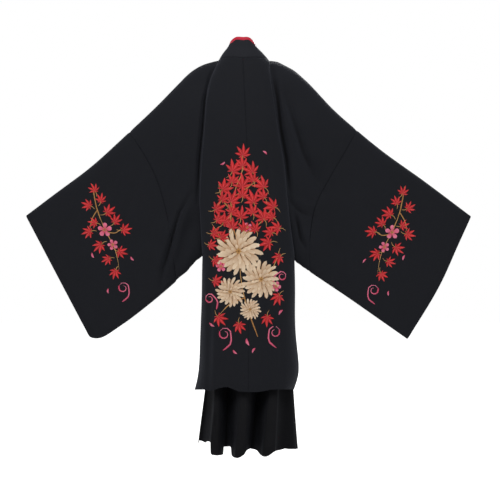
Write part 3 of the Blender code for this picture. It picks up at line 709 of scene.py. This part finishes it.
def woven_black(name, dark, light, fold_shade_tone, fold, shine):
    """A dull black cloth between two tones, with a third, darker one painted into its deep folds as shade."""
    finish, shader, tools = new_finish(
        name, Specular_IOR_Level=shine, Sheen_Weight=0.5 * shine, Sheen_Roughness=0.55, Sheen_Tint=(0.75, 0.8, 1.0, 1))
    place = tools.object_place()
    across, along, _ = tools.split(tools.laid_out("weave"))
    thread = (across * THREADS).sine() * (along * THREADS).sine()
    mottled = tools.noise(place, 9.0, 3.0)
    slub = tools.noise(place, 900.0, 1.0)
    from_edge, from_seam = tools.attribute("edge_far"), tools.attribute("seam_far")
    hem_step = from_edge.smooth_step(HEM_DEPTH - HEM_STEP, HEM_DEPTH + HEM_STEP)
    seam_line = from_seam.smooth_step(*SEAM_LINE)
    stitch_row = 1 - ((from_edge - STITCHED_AT) * STITCH_FADE).absolute().clamped()
    # painted shade: where the cloth lies deep in a fold, its colour turns to the darker fold tone
    fold_shade_mask = tools.attribute("fold_depth").smooth_step(*fold)
    woven = 0.55 * mottled + 0.25 * slub + 0.10 * thread + 0.08 * hem_step
    tone = (woven - 0.35 * (1 - seam_line)).clamped()
    shade = fold_shade_mask.mixed(tone.mixed(dark, light), fold_shade_tone)
    pucker = tools.noise(place, 130.0, 1.0) * (1 - from_seam.smooth_step(0.0, PUCKERED))
    height = 0.10 * thread + 0.25 * slub + 1.2 * seam_line - 0.9 * hem_step - 0.5 * stitch_row + 1.4 * pucker
    soft_dents = tools.noise(place, 34.0, 2.0)
    feed(shader, Base_Color=shade, Roughness=0.72 + 0.16 * mottled,
         Normal=tools.bump(height + 3.0 * soft_dents, CLOTH_RELIEF))
    print(name, "has", len(finish.node_tree.nodes), "nodes")
    return finish


coat_black, band_black, skirt_black = (woven_black(name, *tones) for name, tones in BLACKS.items())

# %% [markdown]
# The collar of the inner top is a smooth red satin: the threads float over several others, so the cloth has a soft
# shine that runs along them.

# %% The red satin
FLOATS = 2 * math.pi / 0.0006  # one floating thread is 0.6 mm wide
SATIN_RELIEF = 0.0003
red_satin, shader, tools = new_finish(
    "red_satin", Specular_IOR_Level=0.35, Sheen_Weight=0.15, Sheen_Roughness=0.4, Anisotropic=0.4)
_, along, _ = tools.split(tools.laid_out("weave"))
floats = (along * FLOATS).sine()
clouded = tools.noise(tools.object_place(), 26.0, 2.0)
tone = (0.7 * clouded + 0.1 * floats + 0.1).clamped()
hem_step = tools.attribute("edge_far").smooth_step(0.004, 0.006)
feed(shader, Base_Color=tone.mixed((0.34, 0.003, 0.016, 1), (0.62, 0.010, 0.045, 1)),
     Roughness=0.38 + 0.14 * clouded, Normal=tools.bump(0.3 * floats + 2.0 * clouded - hem_step, SATIN_RELIEF))
print("red_satin has", len(red_satin.node_tree.nodes), "nodes")

# %% Each sheet gets its cloth
CLOTH = {  # all the other pieces are of the coat's cloth
    "coat_band": band_black, "red_collar": red_satin,
    "waistband": skirt_black, "skirt_rear": skirt_black, "skirt_fore": skirt_black,
}
for name, sheet in sheets.items():
    cloth = CLOTH.get(name, coat_black)
    sheet.data.materials.clear()
    sheet.data.materials.append(cloth)
    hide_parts(SHEETS[name])
    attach(sheet, "root")
    print(name, "is of", cloth.name)

# %% [markdown]
# The back and the sleeves are embroidered in silk with chrysanthemums, maple leaves, plum blossom and cloud scrolls,
# old and common motifs of such robes. In satin stitch the threads lie side by side across a narrow shape, so that
# each petal or leaf becomes a low cushion. One small grid is modelled once. Every petal is a copy of it, bent along
# a line that is drawn flat and then pressed straight onto the cloth from behind, so it follows the folds.

# %% The grid that every patch of satin stitch is made from
bpy.ops.object.select_all(action="DESELECT")
bpy.ops.mesh.primitive_grid_add(x_subdivisions=8, y_subdivisions=4, size=2)
stitch_grid = bpy.context.object
stitch_grid.data.uv_layers[0].name = "shape"
grid_at = places(stitch_grid.data)
ALONG, ACROSS = (grid_at[:, 0] + 1) / 2, grid_at[:, 1]
GRID_CORNERS = np.array([loop.vertex_index for loop in stitch_grid.data.loops])
print("a patch has", len(stitch_grid.data.polygons), "faces")

# %% How a patch is drawn and laid
OUTLINES = {  # share of the full width at shares of the length
    "petal": ([0, 0.10, 0.30, 0.62, 0.86, 0.96, 1], [0.30, 0.42, 0.70, 1, 0.86, 0.52, 0.14]),
    "leaf": ([0, 0.10, 0.30, 0.50, 0.75, 0.92, 1], [0.16, 0.45, 0.92, 1, 0.62, 0.25, 0.05]),
    "cord": ([0, 0.05, 0.95, 1], [0.35, 1, 1, 0.35]),
    "stem": ([0, 0.06, 0.60, 1], [0.60, 1, 0.70, 0.25]),
}
SUNK = 0.0004  # the border of a patch lies this far under the cloth's surface
PUFF = 0.0013  # and its middle stands this far over its border
FULL_PUFF = 0.0022  # a patch whose half width is less than this is flatter
STEP = 0.01  # a line's direction is measured over this share of it to each side
TAPE = np.linspace(0, 1, 30)  # a line's length is measured between points at these shares
SEAM_GAP = 0.0008  # a point is looked up this far to its sides too, in case it lies in a seam


def smooth_line(points, shares):
    """Points at shares of the length of a smooth line through the given points."""
    points = np.array(points, float)
    knots = np.concatenate([[0], np.cumsum(np.hypot(*np.diff(points, axis=0).T))])
    knots /= knots[-1]
    slopes = np.gradient(points, knots, axis=0)
    start = np.clip(np.searchsorted(knots, shares, side="right") - 1, 0, len(knots) - 2)
    width = (knots[start + 1] - knots[start])[:, None]
    part = (shares - knots[start])[:, None] / width
    ease = part * part * (3 - 2 * part)
    bend = slopes[start] * part * (1 - part) ** 2 - slopes[start + 1] * part**2 * (1 - part)
    return points[start] * (1 - ease) + points[start + 1] * ease + width * bend


def pressed_on(cloths, x, z, rise):
    """The point over (x, z) on the back of these cloths, raised off them."""
    hits = []
    for aside in (0, SEAM_GAP, -SEAM_GAP):
        for cloth in cloths:
            place, normal, _, _ = back_trees[cloth].ray_cast(Vector((x + aside, 1, z)), Vector((0, -1, 0)))
            if place:
                hits.append((place.y, normal))
    depth, normal = max(hits, key=lambda hit: hit[0])
    return Vector((x, depth, z)) + normal * rise


class Needlework:
    """Patches of satin stitch in one silk on some pieces of cloth."""

    def __init__(self, name, silk, cloths):
        self.name, self.silk, self.cloths, self.patches = name, silk, cloths, []

    def patch(self, points, width, outline, lift=0.0, tone=0.5):
        """One patch along a line of points (x, z). lift raises it over the patches below it."""
        line = smooth_line(points, ALONG)
        ahead = smooth_line(points, np.minimum(ALONG + STEP, 1)) - smooth_line(points, np.maximum(ALONG - STEP, 0))
        ahead /= np.hypot(*ahead.T)[:, None]
        half = width / 2 * np.interp(ALONG, *OUTLINES[outline])
        x, z = (line + np.column_stack([-ahead[:, 1], ahead[:, 0]]) * (half * ACROSS)[:, None]).T
        rise = lift - SUNK + PUFF * (1 - ACROSS**2) * np.minimum(1, half / FULL_PUFF)
        made = bpy.data.objects.new(self.name, stitch_grid.data.copy())
        bpy.context.scene.collection.objects.link(made)
        put_places(made.data, np.array([pressed_on(self.cloths, *spot) for spot in zip(x, z, rise)]))
        length = float(np.hypot(*np.diff(smooth_line(points, TAPE), axis=0).T).sum())
        threads = made.data.uv_layers.new(name="weave")
        in_metres = np.column_stack([ALONG * length, half * ACROSS])[GRID_CORNERS]
        threads.data.foreach_set("uv", in_metres.ravel())
        keep_value(made, "tone", np.full(len(x), tone))
        self.patches.append(made)

    def joined(self):
        """All the patches as one piece that rides on the robe."""
        take(self.patches[0])
        for made in self.patches:
            made.select_set(True)
        bpy.ops.object.join()
        piece = bpy.context.object
        bpy.ops.object.mode_set(mode="EDIT")
        bpy.ops.mesh.select_all(action="SELECT")
        bpy.ops.mesh.normals_make_consistent(inside=False)
        bpy.ops.object.mode_set(mode="OBJECT")
        if np.mean([face.normal.y for face in piece.data.polygons]) < 0:
            piece.data.flip_normals()
        bpy.ops.object.shade_smooth()
        piece.name = piece.data.name = self.name
        piece.data.materials.clear()
        piece.data.materials.append(self.silk)
        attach(piece, "root")
        print(self.name, len(self.patches), "patches,", len(piece.data.polygons), "faces")


# %% [markdown]
# Silk floss shines along its threads. Each patch changes from a darker root to a lighter tip, as an embroiderer
# blends two or three flosses, and a row of another colour runs along its border or its middle.


# %% The silks
FLOSS = 2 * math.pi / 0.0008  # one thread of floss is 0.8 mm wide
FLOSS_RELIEF = 0.00022
VEIN = (0.06, 0.18)  # a vein ends between these shares of a patch's half width
BORDER_FADE = 0.08
FLOSSES = {
    # colour: root, tip, border, the share of the half width where the border starts, and a vein if it has one
    "cream": ((0.50, 0.27, 0.13, 1), (0.92, 0.76, 0.56, 1), (0.46, 0.22, 0.08, 1), 0.80),
    "gold": ((0.36, 0.15, 0.03, 1), (0.80, 0.48, 0.17, 1), (0.30, 0.12, 0.03, 1), 0.84),
    "red": ((0.34, 0.003, 0.005, 1), (0.84, 0.022, 0.022, 1), (0.42, 0.004, 0.006, 1), 0.84, (0.90, 0.10, 0.12, 1)),
    "pink": ((0.62, 0.03, 0.10, 1), (0.95, 0.30, 0.45, 1), (0.60, 0.02, 0.05, 1), 0.82),
}


def silk_floss(name, dark, light, border, border_from, vein=None):
    """Silk in satin stitch, from dark at the root to light at the tip, with a border of another floss."""
    finish, shader, tools = new_finish(name, Specular_IOR_Level=0.35, Sheen_Weight=0.1, Sheen_Roughness=0.4)
    run, off, _ = tools.split(tools.laid_out("weave"))
    along, across, _ = tools.split(tools.laid_out("shape"))
    from_middle = (across * 2 - 1).absolute()
    slanted = run + 0.8 * off.absolute()
    thread = (slanted * FLOSS).sine()
    uneven = tools.noise(tools.object_place(), 420.0, 2.0)
    clouded = tools.noise(tools.object_place(), 60.0, 2.0)
    blend = (0.62 * along + 0.5 * tools.attribute("tone") + 0.35 * uneven + 0.25 * clouded - 0.45).clamped()
    colour = blend.mixed(dark, light)
    if vein:
        colour = from_middle.smooth_step(*VEIN).mixed(vein, colour)
    bordered = from_middle.smooth_step(border_from, border_from + BORDER_FADE).mixed(colour, border)
    feed(shader, Base_Color=bordered, Roughness=0.36 + 0.2 * uneven,
         Normal=tools.bump(thread + 0.8 * uneven, FLOSS_RELIEF))
    return finish


silks = {colour: silk_floss(colour + "_silk", *flosses) for colour, flosses in FLOSSES.items()}
print(len(silks), "silks, one thread of", round(2 * math.pi / FLOSS * MM, 2), "mm")

# %% [markdown]
# A motif is a handful of patches around a point: a chrysanthemum is four rings of narrow petals, a maple leaf has
# seven pointed lobes and a stalk, a plum blossom has five round petals, and a cloud is a line that curls up at its end.


# %% The motifs
def turned(x, z, far, angle):
    """The point at a distance and an angle from (x, z)."""
    return x + far * math.cos(math.radians(angle)), z + far * math.sin(math.radians(angle))


BLOOM_RINGS = [
    # petals, root, tip, width, all in shares of the radius, and lift in metres
    (19, 0.34, 1.00, 0.225, 0.0000),
    (15, 0.25, 0.77, 0.200, 0.0007),
    (11, 0.14, 0.55, 0.180, 0.0014),
    (7, 0.04, 0.33, 0.150, 0.0021),
]


def chrysanthemum(petals, hearts, x, z, radius, turn=0.0):
    for ring, (count, root, tip, width, lift) in enumerate(BLOOM_RINGS):
        for i in range(count):
            angle = turn + 360 * (i + 0.37 * ring) / count + 3.5 * math.sin(5.1 * i + ring)
            reach = tip * (1 + 0.07 * math.sin(2.3 * i + 1.7 * ring))
            line = [turned(x, z, radius * (root + (reach - root) * share), angle + 9 * share**2)
                    for share in (0, 0.5, 1)]
            petals.patch(line, width * radius, "petal", lift + 0.0002 * (i % 2), 0.35 + 0.13 * ((3 * i + ring) % 5))
    for i in range(6):
        hearts.patch([turned(x, z, 0.02 * radius, 60 * i), turned(x, z, 0.13 * radius, 60 * i + 14)],
                     0.08 * radius, "cord", 0.0030, 0.3 + 0.1 * (i % 3))


MAPLE_LOBES = [
    # angle from the middle lobe, length in shares of the leaf's
    (0, 1.00), (36, 0.88), (-36, 0.88), (76, 0.66), (-76, 0.66), (124, 0.36), (-124, 0.36),
]


def maple_leaf(leaves, stalks, x, z, size, turn, lift=0.0):
    for i, (angle, share) in enumerate(MAPLE_LOBES):
        way, far = turn + angle, size * share
        line = [turned(x, z, 0.02 * size, way), turned(x, z, 0.5 * far, way + 3), turned(x, z, far, way - 2)]
        leaves.patch(line, 0.32 * far, "leaf", lift + 0.0001 * i, 0.3 + 0.12 * ((2 * i + int(turn)) % 5))
    stalks.patch([(x, z), turned(x, z, 0.3 * size, turn + 172), turned(x, z, 0.62 * size, turn + 190)],
                 0.0028, "stem", lift + 0.0004, 0.5)


def plum_blossom(petals, hearts, x, z, radius, turn=0.0):
    for i in range(5):
        angle = turn + 72 * i
        petals.patch([turned(x, z, 0.12 * radius, angle), turned(x, z, 0.6 * radius, angle + 2),
                      turned(x, z, radius, angle)], 0.74 * radius, "petal", 0.0002 * (i % 2), 0.4 + 0.1 * (i % 3))
    for i in range(5):
        hearts.patch([turned(x, z, share * radius, 72 * i + turn + 36) for share in (0.02, 0.34)],
                     0.0020, "cord", 0.0016, 0.6)


def cloud_scroll(threads, x, z, radius, turn, hand=1, tail=2.2):
    """A line that comes in from the side and curls up round (x, z)."""
    curl = [turned(x, z, radius * (1 - 0.62 * share), turn - hand * 460 * share) for share in np.linspace(0, 1, 9)]
    start = turned(*curl[0], tail * radius, turn + hand * 100)
    threads.patch([start, turned(*curl[0], 0.9 * radius, turn + hand * 72)] + curl[:4], 0.0062, "stem", 0.0, 0.6)
    threads.patch(curl[3:], 0.0054, "stem", 0.0003, 0.35)


def loose_petal(petals, x, z, length, turn):
    petals.patch([(x, z), turned(x, z, 0.5 * length, turn + 14), turned(x, z, length, turn)],
                 0.42 * length, "leaf", 0.0, 0.5)


def needleworks(place, colours, cloths):
    return [Needlework(f"{place}_{colour}_embroidery", silks[colour], cloths) for colour in colours]


# %% The embroidery of the back
# Places, sizes and radii are in millimetres here, and turns in degrees.
UPPER_LEAF = 0.0011  # the leaves of the second layer lie this far over the first
back_works = needleworks("back", ("cream", "gold", "red", "pink"), ["coat_half_left", "coat_half_right"])
back_cream, back_gold, back_red, back_pink = back_works
for line in (
    [(-30, -925), (-2, -850), (22, -760), (30, -660)],
    [(34, -620), (58, -545), (46, -455), (18, -380), (22, -325)],
    [(52, -520), (86, -480), (98, -430)],
    [(46, -470), (0, -440), (-44, -405)],
    [(20, -600), (-36, -560), (-84, -500)],
    [(40, -640), (86, -610), (120, -560)],
    [(-46, -750), (-82, -700), (-104, -640)],
    [(10, -800), (58, -820), (98, -860)],
):
    back_gold.patch([(x / MM, z / MM) for x, z in line], 0.0052, "stem", 0.0, 0.35)
for x, z, size, turn in (
    (19, -338, 40, 96), (53, -388, 46, 124), (-13, -392, 44, 58), (21, -440, 50, 88), (86, -446, 44, 140),
    (-50, -440, 46, 44), (57, -488, 46, 112), (-16, -490, 46, 74), (109, -512, 40, 158), (-84, -505, 42, 28),
    (26, -540, 42, 100), (-50, -545, 44, 62), (82, -556, 42, 132), (-100, -575, 38, 6), (118, -590, 36, 176),
    (-70, -622, 40, -14), (112, -678, 36, 205), (-104, -668, 34, -40), (112, -746, 34, 190), (-100, -796, 36, -58),
    (98, -862, 38, 232), (30, -884, 34, 262), (-62, -862, 34, -84),
):
    maple_leaf(back_red, back_gold, x / MM, z / MM, size / MM, turn)
for x, z, size, turn in (
    (20, -372, 34, 84), (54, -424, 34, 104), (-15, -420, 34, 68), (20, -470, 36, 92), (88, -482, 34, 126),
    (-50, -474, 34, 52), (56, -524, 36, 108), (-14, -526, 36, 76), (104, -548, 34, 146), (-80, -540, 34, 34),
    (54, -574, 36, 96), (-24, -582, 34, 66), (90, -604, 32, 158), (-76, -590, 32, 12), (16, -580, 32, 88),
    (128, -628, 30, 190),
):
    maple_leaf(back_red, back_gold, x / MM, z / MM, size / MM, turn, UPPER_LEAF)
for x, z, radius, turn in ((32, -650, 76, 4), (-40, -742, 62, 20), (58, -782, 48, 40), (-6, -838, 34, 10)):
    chrysanthemum(back_cream, back_gold, x / MM, z / MM, radius / MM, turn)
for x, z, radius, turn, hand in (
    (78, -918, 23, 200, 1), (-86, -912, 22, -20, -1), (128, -806, 18, 160, 1), (-110, -732, 17, 30, -1),
):
    cloud_scroll(back_pink, x / MM, z / MM, radius / MM, turn, hand)
for x, z, length, turn in (
    (6, -930, 24, 250), (-22, -960, 20, 300), (50, -968, 18, 220), (128, -884, 20, 210), (-112, -842, 20, -50),
    (-60, -334, 18, 40), (92, -366, 18, 150),
):
    loose_petal(back_pink, x / MM, z / MM, length / MM, turn)
for x, z, radius, turn in ((90, -700, 18, 12), (-90, -765, 17, 40), (4, -572, 16, 0)):
    plum_blossom(back_pink, back_gold, x / MM, z / MM, radius / MM, turn)

# %% The embroidery of the sleeves
SPRAY_LINES = [
    # points (x, z), in millimetres
    [(524, -425), (512, -500), (482, -580), (448, -650), (436, -720)],
    [(508, -510), (528, -545), (534, -580)],
    [(480, -585), (448, -588), (424, -570)],
]
SPRAY_LEAVES = [
    # x, z, size, turn
    (516, -448, 30, 64), (534, -498, 32, 24), (478, -520, 36, 148), (532, -584, 34, -14), (424, -578, 34, 172),
    (496, -628, 36, -40), (438, -650, 34, 200), (448, -716, 32, -70), (498, -482, 30, 104), (452, -552, 32, 128),
    (514, -556, 30, 12), (470, -676, 30, -20),
]
for side, sign, drop in (("left", 1, 0.0), ("right", -1, -0.008)):
    cloths = ["lower_sleeve_" + side, "coat_half_" + side]
    reds, pinks, golds = needleworks("sleeve_" + side, ("red", "pink", "gold"), cloths)
    for line in SPRAY_LINES:
        golds.patch([(sign * x / MM, z / MM + drop) for x, z in line], 0.0046, "stem", 0.0, 0.4)
    for x, z, size, turn in SPRAY_LEAVES:
        maple_leaf(reds, golds, sign * x / MM, z / MM + drop, size / MM, turn if sign > 0 else 180 - turn)
    plum_blossom(pinks, golds, sign * 0.484, -0.578 + drop, 0.024, 90)
    plum_blossom(pinks, golds, sign * 0.458, -0.628 + drop, 0.018, 70)
    cloud_scroll(pinks, sign * 0.424, -0.774 + drop, 0.021, 200 if sign > 0 else -20, sign)
    loose_petal(pinks, sign * 0.528, -0.655 + drop, 0.020, 250 if sign > 0 else -70)
    loose_petal(pinks, sign * 0.398, -0.668 + drop, 0.018, 230 if sign > 0 else -50)
    loose_petal(pinks, sign * 0.474, -0.776 + drop, 0.018, 270)
    for work in (reds, pinks, golds):
        work.joined()
for work in back_works:
    work.joined()
bpy.data.objects.remove(stitch_grid)
